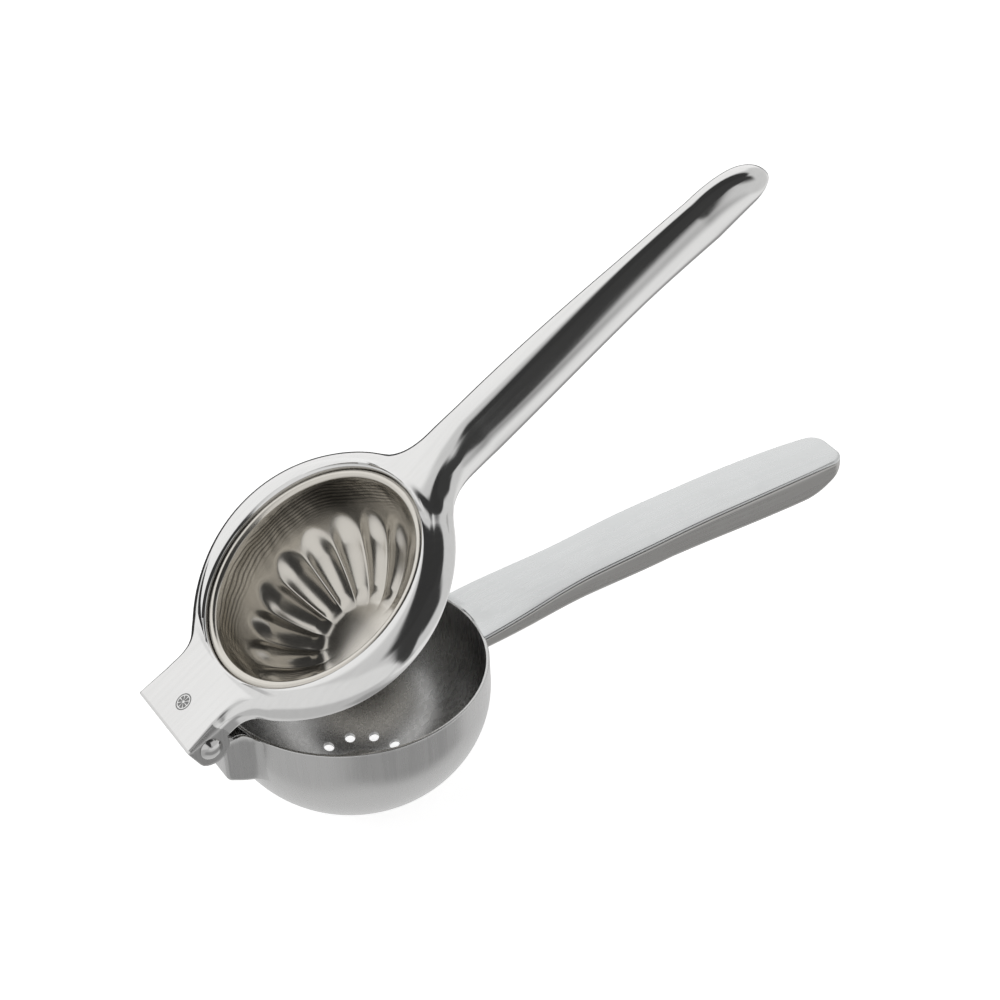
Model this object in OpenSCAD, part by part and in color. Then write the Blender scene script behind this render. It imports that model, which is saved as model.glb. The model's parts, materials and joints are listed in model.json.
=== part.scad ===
// Hand-held citrus press juicer: a drained bowl on a hollow lower handle, and an upper arm
// with a fluted press cup, joined by one riveted hinge.
// +Z is up, +X runs from the bowl to the handle tips, and the origin is the centre of the
// bowl's small flat base. Millimetres.

/* [Bowl] */
// Outer radius of the bowl's rim
bowl_r = 38; // [37.5:0.25:39]
// Height of the bowl from its flat base to its rim
bowl_h = 40; // [38:0.5:44]
// Height of the straight band under the rim
band_h = 7.5; // [6:0.5:9]
// Sheet thickness of the bowl
bowl_wall = 1; // [0.8:0.1:1.2]
// Radius of the flat base
base_r = 9; // [8:0.5:10]
// Diameter of each drain hole
drain_d = 3; // [2.6:0.1:3.2]

/* [Press cup] */
// Inner radius of the domed press cup
cup_r = 30.6; // [30:0.2:31]
// Sheet thickness of the press cup
cup_wall = 1; // [0.8:0.1:1]
// Radius of the flat disc that closes the cup
cup_disc_r = 12.8; // [12:0.2:13.4]
// Number of pressed flutes, an even number
flutes = 18; // [16:2:20]
// How far each flute bulges into the cup
flute_depth = 1.2; // [0.8:0.1:1.4]

/* [Upper arm] */
// Sheet thickness of the arm
arm_t = 1.3; // [1.1:0.1:1.4]
// Height of the ring's flat top above the bowl's rim when the arm lies level
ring_top = 9.4; // [9.2:0.1:9.8]
// Radius of the hole in the ring that the cup sits in
ring_hole_r = 33.6; // [33.4:0.1:33.8]
// Half width of the ring along the arm
ring_end_r = 40.2; // [39.6:0.2:41]
// Half width of the ring across the arm
ring_side_r = 43.8; // [43:0.2:44.4]
// Depth of the ring's outer skirt
skirt_h = 5.7; // [5:0.1:6.2]

/* [Handles] */
// Distance of the handle tips from the bowl's axis
reach = 162.5; // [155:0.5:175]
// Depth of the upper handle's channel
grip_depth = 10.3; // [9:0.1:10.5]
// Depth of the lower handle at its middle
shell_depth = 8.4; // [7.5:0.1:9]
// Sheet thickness of the lower handle and the closing plates
plate_t = 1.2; // [1:0.1:1.4]

/* [Hinge] */
// Angle that the arm is opened to, from level
open_angle = 31.3; // [4:0.1:100]
// Distance of the hinge pin behind the bowl's axis
pin_x = 49.4; // [49:0.1:50.5]
// Height of the hinge pin above the bowl's rim
pin_z = 4.75; // [4.5:0.05:5]
// Radius of the hinge pin
pin_r = 1.8; // [1.6:0.1:1.9]
// Half width over the two hinge ears
ear_y = 15.2; // [15:0.1:16]
// Half width of the hinge bracket
neck_y = 13; // [12.6:0.1:13]
// Radius of the rivet's domed heads
head_r = 3.2; // [3:0.1:3.6]
// Height of the rivet's domed heads
head_h = 1.6; // [1.2:0.1:1.8]

/* [Hidden] */
$fn = 96;
eps = 0.02;

// Bowl
dome_h = (bowl_h - band_h) / sqrt(1 - pow(base_r / bowl_r, 2));
drain_rows = [[6, 5.6, 0], [12, 13.2, 15]];     // count, circle radius, start angle
drain_cut = 12;                                 // reaches through the dome at both rows

// Ring: two round blanks, offset along the arm, overlap in a shape wider across than along
ring_x = 0.9;
blank_r = (pow(ring_side_r, 2) / ring_end_r + ring_end_r) / 2;
blank_shift = blank_r - ring_end_r;
shoulder_r = 5.4;
lip_h = 4.8;                                    // depth of the flange round the hole
neck_out = 20;                                  // half width where the neck web leaves the ring
neck_from = 33;
neck_to = 46;
tail_from = 32;
tail_to = 40.5;
tail_out = 22;
tail_in = 14.8;                                 // half width where the tail web meets the plate
tail_end = 54.4;                                // back edge of the hinge plate
ear_r = 5.5;

// Press cup
cup_x = -0.9;
cup_z = ring_top - 2.4;                         // height of the dome's centre
cup_floor = cup_z - sqrt(pow(cup_r, 2) - pow(cup_disc_r, 2));
cup_mouth_z = ring_top - 1;
cup_joint_z = cup_z - 3.2;                      // where the dome meets the mouth band
flute_top = 22;                                 // degrees below the dome's equator
flute_r = flute_depth + cup_wall;               // radius of the bar that presses each flute

// Upper handle: one section swept along a shallow arch
arch_r = 806;
arch_x = 60;
arch_top = ring_top + 2.4;
grip_flat = 1.6;
grip_shoulder = 4.5;
grip_lean = 16;                                 // lean of the channel's walls, degrees
grip_root_w = 8.2;
grip_mid_w = 7.4;
grip_tip_w = 5.9;
grip_mid_x = 112;
grip_seat = 0.6;                                // the closing plate's depth inside the open side
nose_x = 21;                                    // length and height of the rounded nose
nose_h = 12;
nose_low = -4.5;                                // height of the nose's lower end

// Lower handle
shell_root = 34;                                // hidden start inside the bowl's outline
shell_start = 0.3;                              // height of the top face where it leaves the bowl
shell_rise = 7.7;
crest_x = 140;
shell_edge = 4.4;                               // depth at the root
shell_steps = 32;
shell_sweep = 14;                               // length of the underside's rise to the tip

// Hinge
neck_end = 45;                                  // distance of the bracket's upright end from the bowl's axis
end_top = -0.5;                                 // height of that end wall's top edge
end_r = 3;                                      // round end of the bracket, under the plate
run_gap = 0.05;                                 // clearance round the pin
washer_gap = 0.1;
head_edge = 0.3;                                // straight edge under each rivet head's dome
washer_t = 0.6;
washer_r = 2.9;
sleeve_r = 2.7;

// ---- placing ------------------------------------------------------------------------

// Children are in coordinates measured from the centre of the bowl's rim
module at_rim() {
    translate([0, 0, bowl_h]) children();
}

// Children are in the level arm's coordinates, and swing about the pin to the open angle
module on_arm() {
    at_rim()
        translate([-pin_x, 0, pin_z])
            rotate([0, -open_angle, 0])
                translate([pin_x, 0, -pin_z]) children();
}

// A side view, drawn as X along and Y up, given a width of 2 * half_w across the part
module side_slab(half_w) {
    translate([0, half_w, 0])
        rotate([90, 0, 0])
            linear_extrude(2 * half_w) children();
}

// A cylinder on the hinge axis between two distances across the part
module hinge_cylinder(r, y0, y1) {
    translate([-pin_x, y1, pin_z])
        rotate([90, 0, 0]) cylinder(r = r, h = y1 - y0, $fn = 48);
}

// ---- bowl ---------------------------------------------------------------------------

// Half outline of the bowl, shrunk by t on every side and closed on the axis
module bowl_outline(t) {
    low = bowl_h - band_h - t;
    end = asin(low / (dome_h - t));
    curve = [for (i = [0:20]) let (a = end * i / 20)
        [(bowl_r - t) * cos(a), -band_h - (dome_h - t) * sin(a)]];
    polygon(concat([[0, t > 0 ? 1 : 0], [bowl_r - t, t > 0 ? 1 : 0]], curve, [[0, -band_h - low]]));
}

module bowl_blank(t) {
    at_rim() rotate_extrude() bowl_outline(t);
}

module bowl() {
    color("silver")
        difference() {
            bowl_blank(0);
            bowl_blank(bowl_wall);
            for (row = drain_rows)
                for (i = [0:row[0] - 1])
                    rotate([0, 0, row[2] + 360 * i / row[0]])
                        translate([row[1], 0, -1]) cylinder(d = drain_d, h = drain_cut, $fn = 32);
        }
}

// ---- hinge bracket: a folded sheet neck from the bowl to the pin ------------------------

// Lower edge of the bracket's side view, with the sheet's thickness t taken off inside
function neck_foot(t) =
    [[-30, -17.5 + t], [-36, -14.9 + t], [-neck_end + 2 + t, -11.1 + t], [-neck_end + 0.5 + t, -10.5 + t],
     [-neck_end + t, -9.4 + t], [-neck_end + t, end_top]];

// Side walls: the foot, a tab that reaches back to the pin, and a low rise in front of it
module neck_side() {
    polygon(concat(neck_foot(0), [[-pin_x - 1.4, pin_z - 2.6], [-pin_x - 1.5, pin_z + 1.2],
                                  [-pin_x + 2, pin_z + 2.2], [-42.5, 2.9], [-38, 2.5], [-30, 0.8]]));
}

module neck_inside() {
    polygon(concat(neck_foot(plate_t), [[-pin_x - 6, end_top], [-pin_x - 6, 12], [-30, 12]]));
}

module hinge_bracket() {
    color("silver")
        difference() {
            union() {
                at_rim() side_slab(neck_y) neck_side();
                at_rim() hinge_cylinder(end_r, -neck_y, neck_y);
            }
            at_rim() side_slab(neck_y - plate_t) neck_inside();
            at_rim() hinge_cylinder(pin_r + run_gap, -20, 20);
            translate([0, 0, eps]) bowl_blank(-eps);
        }
}

// ---- lower handle -------------------------------------------------------------------

// Height of the top face above the rim at distance x
function shell_top(x) = shell_start + shell_rise * (1 - pow((crest_x - x) / (crest_x - bowl_r), 2));

// Height of the underside above the rim at distance x, swept up to the tip
function shell_low(x) = let (u = max(0, (x - reach + shell_sweep) / shell_sweep))
    shell_top(x) - shell_edge - (shell_depth - shell_edge) * sin(90 * min(1, (x - shell_root) / 70))
        - 1.8 * sin(90 * min(1, max(0, (x - 100) / 50))) + 7.6 * pow(u, 2.2);

// Stations along the lower handle, stopping short of the tip by end_gap
function shell_xs(end_gap) =
    [for (i = [0:shell_steps]) shell_root + (reach - end_gap - shell_root) * i / shell_steps];

module shell_side(top_gap, low_gap, end_gap) {
    xs = shell_xs(end_gap);
    polygon(concat([for (x = xs) [x, shell_top(x) - top_gap]],
                   [for (i = [shell_steps:-1:0]) [xs[i], shell_low(xs[i]) + low_gap]]));
}

// Plan of the lower handle, shrunk by t: wide at the bowl, with a blunt round-cornered tip
module shell_plan(t) {
    half = concat([[shell_root, 11.2 - t], [60, 9.6 - t], [90, 9 - t], [130, 8.6 - t], [150, 7.7 - t]],
                  [for (a = [70:-14:0]) [reach - 5 + (5 - t) * cos(a), 3 + (5 - t) * sin(a)]]);
    polygon(concat(half, [for (i = [len(half) - 1:-1:0]) [half[i][0], -half[i][1]]]));
}

module shell_prism(t) {
    translate([0, 0, -20]) linear_extrude(40) shell_plan(t);
}

module lower_handle_shell() {
    color("silver")
        difference() {
            at_rim() difference() {
                intersection() {
                    side_slab(15) shell_side(plate_t, 0, 0);
                    shell_prism(0);
                }
                intersection() {
                    side_slab(15) shell_side(0, plate_t, plate_t);
                    shell_prism(plate_t);
                }
            }
            bowl_blank(-eps);
        }
}

module lower_handle_plate() {
    color("gainsboro")
        difference() {
            at_rim() intersection() {
                side_slab(15) polygon(concat([for (x = shell_xs(0)) [x, shell_top(x)]],
                    [for (i = [shell_steps:-1:0]) let (x = shell_xs(0)[i]) [x, shell_top(x) - plate_t]]));
                shell_prism(0);
            }
            translate([0, 0, bowl_h - 10]) cylinder(r = bowl_r + eps, h = 20);
        }
}

// ---- hinge hardware -----------------------------------------------------------------

module spacer_sleeve() {
    color("darkgray")
        at_rim() difference() {
            hinge_cylinder(sleeve_r, plate_t - neck_y, neck_y - plate_t);
            hinge_cylinder(pin_r + run_gap, -20, 20);
        }
}

module hinge_washers() {
    y0 = neck_y + washer_gap;
    color("darkgray")
        at_rim() for (side = [0, 1]) mirror([0, side, 0]) difference() {
            hinge_cylinder(washer_r, y0, y0 + washer_t);
            hinge_cylinder(pin_r + run_gap, y0 - 1, y0 + 2);
        }
}

module domed_head() {
    cap_h = head_h - head_edge;
    cap_r = (pow(head_r, 2) + pow(cap_h, 2)) / (2 * cap_h);
    rise = asin(head_r / cap_r);
    rotate_extrude($fn = 64)
        polygon(concat([[0, 0], [head_r, 0]],
            [for (i = [10:-1:0]) let (a = rise * i / 10) [cap_r * sin(a), head_h - cap_r + cap_r * cos(a)]]));
}

module hinge_rivet() {
    color("lightgray")
        on_arm() union() {
            hinge_cylinder(pin_r, -ear_y - 0.2, ear_y + 0.2);
            for (side = [0, 1]) mirror([0, side, 0])
                translate([-pin_x, ear_y, pin_z]) rotate([-90, 0, 0]) domed_head();
        }
}

// ---- upper arm ----------------------------------------------------------------------

// Round blank of the ring: flat top, rounded shoulder, straight skirt
module ring_blank(t) {
    r = shoulder_r - t;
    rim = blank_r - t;
    module one() {
        rotate_extrude($fn = 144)
            polygon(concat([[0, ring_top - skirt_h - t], [rim, ring_top - skirt_h - t]],
                [for (a = [0:15:90]) [rim - r + r * cos(a), ring_top - t - r + r * sin(a)]],
                [[0, ring_top - t]]));
    }
    translate([ring_x, 0, 0]) intersection() {
        translate([blank_shift, 0, 0]) one();
        translate([-blank_shift, 0, 0]) one();
    }
}

// Webs that flow from the ring into the handle and into the hinge plate
function web_w(x, from, to, out, in) = in + (out - in) * (1 - sin(90 * (x - from) / (to - from)));

module mirrored_outline(half) {
    polygon(concat(half, [for (i = [len(half) - 1:-1:0]) [half[i][0], -half[i][1]]]));
}

module web_blank(t) {
    translate([0, 0, ring_top - skirt_h - t]) linear_extrude(skirt_h) {
        mirrored_outline([for (i = [0:10]) let (x = neck_from + (neck_to - neck_from) * i / 10)
            [x, web_w(x, neck_from, neck_to, neck_out, grip_root_w) - t]]);
        mirrored_outline([for (i = [10:-1:0]) let (x = tail_from + (tail_to - tail_from) * i / 10)
            [-x, web_w(x, tail_from, tail_to, tail_out, tail_in) - t]]);
    }
}

// Hinge plate with its two folded ears; the fold's hollow is open at the back edge
module hinge_blank(t) {
    back = tail_end + (t > 0 ? 3 : 0);
    low = pin_z - ear_r - (t > 0 ? 3 : 0);
    translate([-back, -ear_y + t, low]) cube([back - 30, 2 * (ear_y - t), ring_top - t - low]);
}

module ear_trim() {
    drop = ring_top - skirt_h;
    side_slab(20) difference() {
        translate([-60, -20]) square([31, drop + 20]);
        translate([-pin_x, pin_z]) circle(r = ear_r, $fn = 64);
        translate([-tail_end, pin_z]) square([tail_end - pin_x, 10]);
    }
}

// Section of the upper handle, depth inwards along X and width along Y
module grip_section(t) {
    r = grip_shoulder - t;
    open = t > 0 ? 2 : 0;
    turn = 90 - grip_lean;
    half = concat([for (a = [0:turn / 6:turn]) [-t - r * (1 - cos(a)), grip_flat + r * sin(a)]],
                  [[-grip_depth - open, grip_flat + r * cos(grip_lean)
                    + (grip_depth + open - t - r * (1 - sin(grip_lean))) * tan(grip_lean)]]);
    translate([arch_r, 0]) polygon(concat(half, [for (i = [len(half) - 1:-1:0]) [half[i][0], -half[i][1]]]));
}

// Plan of the upper handle, shrunk by t, with a round tip
module grip_plan(t) {
    tip_x = reach - grip_tip_w;
    mirrored_outline(concat(
        [[44, grip_root_w + 0.2 - t], [64, grip_root_w - t], [grip_mid_x, grip_mid_w - t]],
        [for (a = [90:-15:0]) [tip_x + (grip_tip_w - t) * cos(a), (grip_tip_w - t) * sin(a)]]));
}

module grip_sweep(from, to) {
    a0 = acos((to - arch_x) / arch_r);
    a1 = acos((from - arch_x) / arch_r);
    translate([arch_x, 0, arch_top - arch_r]) rotate([90, 0, 0]) rotate([0, 0, a0])
        rotate_extrude(angle = a1 - a0, $fn = 720) children();
}

module grip_blank(t) {
    nose = reach - nose_x;
    intersection() {
        grip_sweep(40, reach + 4) grip_section(t);
        translate([0, 0, -30]) linear_extrude(60) grip_plan(t);
        side_slab(12) polygon(concat(
            [[42, -12], [42, ring_top - t], [54, arch_top + 1 - t], [nose, arch_top + 1 - t]],
            [for (a = [80:-10:0]) [nose + (nose_x - t) * cos(a), nose_low + (nose_h - t) * sin(a)]],
            [[reach - t, -12]]));
    }
}

module upper_arm() {
    color("whitesmoke")
        on_arm() union() {
            difference() {
                union() {
                    ring_blank(0);
                    web_blank(0);
                    hinge_blank(0);
                    grip_blank(0);
                }
                ring_blank(arm_t);
                web_blank(arm_t);
                hinge_blank(arm_t);
                grip_blank(arm_t);
                ear_trim();
                translate([ring_x, 0, -20]) cylinder(r = ring_hole_r + arm_t / 2, h = 40, $fn = 144);
                hinge_cylinder(pin_r + eps, -20, 20);
            }
            translate([ring_x, 0, 0]) rotate_extrude($fn = 144)
                polygon([[ring_hole_r, ring_top - lip_h], [ring_hole_r + arm_t, ring_top - lip_h],
                         [ring_hole_r + arm_t, ring_top - eps], [ring_hole_r + 0.7, ring_top - eps],
                         [ring_hole_r + 0.2, ring_top - 0.25], [ring_hole_r, ring_top - 0.8]]);
        }
}

module upper_handle_plate() {
    color("silver")
        on_arm() intersection() {
            grip_sweep(50, reach) intersection() {
                translate([arch_r - grip_depth + grip_seat, -10]) square([plate_t, 20]);
                grip_section(arm_t + eps);
            }
            translate([0, 0, -30]) linear_extrude(60) intersection() {
                grip_plan(arm_t + eps);
                translate([50, -20]) square([reach - arm_t - 3.5 - 50, 40]);
            }
        }
}

// ---- press cup ----------------------------------------------------------------------

// One meridian of round bar over the dome, from the flute's top to the disc
module flute_bar(r) {
    low = 90 - acos((cup_z - cup_floor) / (cup_r + cup_wall));
    rotate([90, 0, 0]) rotate([0, 0, -low - 2])
        rotate_extrude(angle = low + 2 - flute_top, $fn = 96)
            translate([cup_r + cup_wall, 0]) circle(r = r, $fn = 24);
}

module cup_flutes(r) {
    for (i = [0:flutes - 1])
        rotate([0, 0, 360 * (i + 0.5) / flutes]) flute_bar(r);
}

// Dome of radius r about the cup's centre, closed by a flat floor
module cup_dome(r, floor_z) {
    edge = asin(min(1, (cup_z - floor_z) / r));
    rotate_extrude($fn = 144)
        polygon(concat([[0, cup_joint_z - cup_z]],
            [for (i = [0:18]) let (a = 6 + (edge - 6) * i / 18) [r * cos(a), -r * sin(a)]],
            [[0, floor_z - cup_z]]));
}

module press_cup() {
    color("lightgray")
        on_arm() union() {
            translate([cup_x, 0, cup_z]) difference() {
                cup_dome(cup_r + cup_wall, cup_floor - cup_wall);
                difference() {
                    cup_dome(cup_r, cup_floor);
                    cup_flutes(flute_r);
                }
                cup_flutes(flute_r - cup_wall);
            }
            translate([ring_x, 0, 0]) rotate_extrude($fn = 144)
                polygon([[cup_r, cup_joint_z - 0.8], [ring_hole_r, cup_joint_z + 0.4],
                         [ring_hole_r, cup_mouth_z - 1.2], [ring_hole_r - 0.4, cup_mouth_z - 0.3],
                         [ring_hole_r - 1.3, cup_mouth_z], [ring_hole_r - 2.3, cup_mouth_z - 0.7],
                         [cup_r, cup_mouth_z - 2.2]]);
        }
}

bowl();
hinge_bracket();
lower_handle_shell();
lower_handle_plate();
spacer_sleeve();
hinge_washers();
hinge_rivet();
upper_arm();
upper_handle_plate();
press_cup();
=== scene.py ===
"""Looks of a hand-held citrus press juicer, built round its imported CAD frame.

Shapes are worked out in millimetres. The base pieces use the bowl's axes, moved so that height 0 is
the bowl's rim. The arm's pieces use the same axes with the arm lying level, and ARM swings them open.
"""
import json
import math

import bmesh
import bpy
import numpy as np
from mathutils import Matrix, Vector


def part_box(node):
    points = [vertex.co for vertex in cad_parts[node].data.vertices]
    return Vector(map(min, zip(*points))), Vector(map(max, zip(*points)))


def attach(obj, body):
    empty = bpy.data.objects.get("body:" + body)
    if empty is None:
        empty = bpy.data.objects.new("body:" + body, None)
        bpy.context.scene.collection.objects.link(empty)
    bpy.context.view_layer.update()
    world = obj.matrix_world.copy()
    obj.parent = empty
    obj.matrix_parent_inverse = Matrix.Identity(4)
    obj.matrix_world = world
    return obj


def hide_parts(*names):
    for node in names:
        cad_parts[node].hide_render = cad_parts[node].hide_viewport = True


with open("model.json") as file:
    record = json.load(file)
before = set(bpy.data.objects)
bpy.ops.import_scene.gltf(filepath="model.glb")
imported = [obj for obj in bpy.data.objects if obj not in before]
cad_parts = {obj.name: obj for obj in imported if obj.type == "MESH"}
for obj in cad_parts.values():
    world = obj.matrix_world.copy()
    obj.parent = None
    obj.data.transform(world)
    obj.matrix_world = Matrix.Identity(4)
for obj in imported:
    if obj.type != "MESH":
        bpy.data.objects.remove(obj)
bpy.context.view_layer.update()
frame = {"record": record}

MM = 0.001
OPEN = 31.3                     # the arm's angle from level at rest, degrees
HINGE = frame["record"]["behaviour"]["joints"][0]["pos_m"]
RIM_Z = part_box("bowl")[1].z / MM
BOWL_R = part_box("bowl")[1].x / MM
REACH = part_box("lower_handle_shell")[1].x / MM
PIN_X = HINGE[0] / MM
PIN_Z = HINGE[2] / MM - RIM_Z
RING_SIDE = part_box("upper_arm")[1].y / MM

BASE = Matrix.Translation((0, 0, RIM_Z * MM))
PIN_AT = Matrix.Translation((PIN_X * MM, 0, PIN_Z * MM))
ARM = BASE @ PIN_AT @ Matrix.Rotation(math.radians(-OPEN), 4, "Y") @ PIN_AT.inverted()
ARM_BACK = ARM.inverted()


# ---- small curves ------------------------------------------------------------------------

def smooth(x, start, stop):
    """0 before start, 1 after stop, and an even rise between them."""
    t = np.clip((np.asarray(x, float) - start) / (stop - start), 0, 1)
    return t * t * (3 - 2 * t)


def mix(a, b, t):
    return a + (b - a) * t


def soft_min(a, b, k):
    """The smaller of two distances, with a fillet of size k where they cross."""
    h = np.clip(0.5 + 0.5 * (b - a) / k, 0, 1)
    return mix(b, a, h) - k * h * (1 - h)


def sind(a):
    return np.sin(np.radians(a))


def cosd(a):
    return np.cos(np.radians(a))


# ---- meshes ------------------------------------------------------------------------------

WELD_WITHIN = 0.002                            # points of two grids this close become one
NO_LENGTH = 0.0001                             # edges shorter than this are taken out
EDGE = 0.3                                     # how far a sheet's rounded free edge stands out


def add_grid(mesh, points, wrap=False):
    """Adds a grid of points, rows by columns, as quads. wrap joins the last column to the first."""
    rows, cols = points.shape[:2]
    verts = [[mesh.verts.new(Vector(p) * MM) for p in row] for row in points]
    for i in range(rows - 1):
        for j in range(cols if wrap else cols - 1):
            k = (j + 1) % cols
            mesh.faces.new((verts[i][j], verts[i][k], verts[i + 1][k], verts[i + 1][j]))


def piece(name, grids, material, body, nodes=(), place=BASE, sharp=50, mirror=False):
    """One object from grids of points. The grids' edges are welded, and the faces are turned outwards."""
    mesh = bmesh.new()
    for points, wrap in grids:
        add_grid(mesh, points, wrap)
        if mirror:
            add_grid(mesh, points * (1, -1, 1), wrap)
    bmesh.ops.remove_doubles(mesh, verts=mesh.verts, dist=WELD_WITHIN * MM)
    bmesh.ops.dissolve_degenerate(mesh, edges=mesh.edges, dist=NO_LENGTH * MM)
    bmesh.ops.recalc_face_normals(mesh, faces=mesh.faces)
    mesh.transform(place)
    data = bpy.data.meshes.new(name)
    mesh.to_mesh(data)
    mesh.free()
    data.shade_smooth()
    data.set_sharp_from_angle(angle=math.radians(sharp))
    data.materials.append(material)
    made = bpy.data.objects.new(name, data)
    bpy.context.scene.collection.objects.link(made)
    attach(made, body)
    if nodes:
        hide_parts(*nodes)
    return made


def revolve(profile, steps):
    """Rows of points from an outline of (radius, height), turned about the bowl's axis."""
    turn = np.arange(steps) * 360 / steps
    return np.array([[(r * cosd(a), r * sind(a), z) for a in turn] for r, z in profile])


def arc(cx, cy, r, start, stop, steps):
    """Points on an arc, in degrees."""
    return [(cx + r * cosd(a), cy + r * sind(a)) for a in np.linspace(start, stop, steps + 1)]


# ---- materials ---------------------------------------------------------------------------

class Nodes:
    """A short way to write a node tree."""

    def __init__(self, tree):
        self.tree = tree
        self.tree.nodes.clear()

    def add(self, kind, inputs=None, **settings):
        made = self.tree.nodes.new(kind)
        for name, value in settings.items():
            setattr(made, name, value)
        for key, value in (inputs or {}).items():
            if isinstance(value, bpy.types.NodeSocket):
                self.tree.links.new(value, made.inputs[key])
            else:
                made.inputs[key].default_value = value
        return made

    def math(self, operation, a, b=0.0, c=0.0):
        made = self.add("ShaderNodeMath", {0: a, 1: b, 2: c}, operation=operation)
        return made.outputs[0]

    def colour_mix(self, factor, low, high):
        made = self.tree.nodes.new("ShaderNodeMix")
        made.data_type = "RGBA"
        colours = [socket for socket in made.inputs if socket.type == "RGBA"]
        self.tree.links.new(factor, made.inputs[0])
        for socket, value in zip(colours, (low, high)):
            socket.default_value = value
        return [socket for socket in made.outputs if socket.type == "RGBA"][0]

    def ramp(self, value, low, high, to_low=0.0, to_high=1.0):
        made = self.add("ShaderNodeMapRange", {0: value, 1: low, 2: high, 3: to_low, 4: to_high},
                        interpolation_type="SMOOTHSTEP")
        return made.outputs[0]

    def ramp_linear(self, value, low, high, to_low, to_high):
        made = self.add("ShaderNodeMapRange", {0: value, 1: low, 2: high, 3: to_low, 4: to_high})
        return made.outputs[0]

    def noise(self, where, scale, stretch, detail, rough, tilt=0.0):
        """Noise over stretched object coordinates. A large stretch value draws it out along that axis."""
        turn = (0, math.radians(-tilt), 0)
        drawn = self.add("ShaderNodeMapping", {"Vector": where, "Rotation": turn, "Scale": stretch},
                         vector_type="TEXTURE")
        made = self.add("ShaderNodeTexNoise", {"Vector": drawn.outputs[0], "Scale": scale,
                                               "Detail": detail, "Roughness": rough})
        return made.outputs[0]

    def metal(self, colour, rough, height, grain):
        """Ends the tree with bare metal whose bump follows height at strength grain."""
        bump = self.add("ShaderNodeBump", {"Strength": grain, "Distance": BUMP_DEPTH, "Height": height})
        shader = self.add("ShaderNodeBsdfPrincipled", {"Base Color": colour, "Metallic": 1.0,
                                                       "Roughness": rough, "Normal": bump.outputs[0]})
        self.add("ShaderNodeOutputMaterial", {0: shader.outputs[0]})


# how far noise is drawn out along each axis
ALONG = (40, 1, 1)
UPRIGHT = (1, 1, 20)
CROSSWISE = (1, 30, 1)
EVEN = (1, 1, 1)

# noise scales, per metre, and the height that a bump value of 1 stands for, in metres
BRUSHING = 4200
STREAKS = BRUSHING / 6
SCRATCHES = BRUSHING / 9
BROAD = 45.0
PATCHES = 140.0
BUMP_DEPTH = 0.00004

WARM = (1.0, 0.995, 0.985)


def steel(name, tone, gloss, grain, tint=WARM, stretch=ALONG, tilt=0.0, smudge=0.04, scratch=0.0):
    """Stainless steel: gloss is its roughness and grain the depth of its brushing, drawn out by stretch.

    smudge adds roughness in patches, and scratch cuts sparse marks across the brushing.
    """
    made = bpy.data.materials.new(name)
    made.use_nodes = True
    n = Nodes(made.node_tree)
    where = n.add("ShaderNodeTexCoord").outputs["Object"]
    lines = n.noise(where, BRUSHING, stretch, 3.0, 0.55, tilt)
    streaks = n.noise(where, STREAKS, stretch, 3.0, 0.55, tilt)
    broad = n.noise(where, BROAD, EVEN, 3.0, 0.55)
    patch = n.noise(where, PATCHES, EVEN, 4.0, 0.6)
    low = tuple(tone * 0.975 * c for c in tint) + (1,)
    high = tuple(min(1, tone * 1.02 * c) for c in tint) + (1,)
    worn = n.math("MULTIPLY_ADD", streaks, 0.6, n.math("MULTIPLY", broad, 0.4))
    colour = n.colour_mix(n.ramp(worn, 0.3, 0.7), low, high)
    brushed = n.ramp(streaks, 0.3, 0.7, gloss * 0.9, gloss * 1.1)
    rough = n.math("ADD", brushed, n.ramp(patch, 0.5, 0.8, 0.0, smudge))
    height = lines
    if scratch:
        marks = n.noise(where, SCRATCHES, stretch, 2.0, 0.5, tilt + 90)
        height = n.math("MULTIPLY_ADD", n.ramp(marks, 0.66, 0.72), -scratch, lines)
    n.metal(colour, rough, height, grain)
    return made


# Where the cup's draw lines and their painted reflection stripes begin, are full and end, along the arm's
# own upward axis
DRAWN_FROM = 56.0
DRAWN_FULL = 60.0
DRAWN_FADE = 65.5
DRAWN_TO = 66.0
RIPPLE = 5200.0                                # how fast the draw lines follow each other, radians a metre
RIPPLE_WANDER = 70.0                           # how far they wander, radians
CUP_TONE = (0.57, 0.545, 0.50, 1)
# painted reflection: the draw lines darken the cup's colour towards this tone, standing in for the dark
# stripes they reflect
DRAW_LINE_PAINTED_REFLECTION_TONE = (0.25, 0.235, 0.21, 1)


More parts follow.
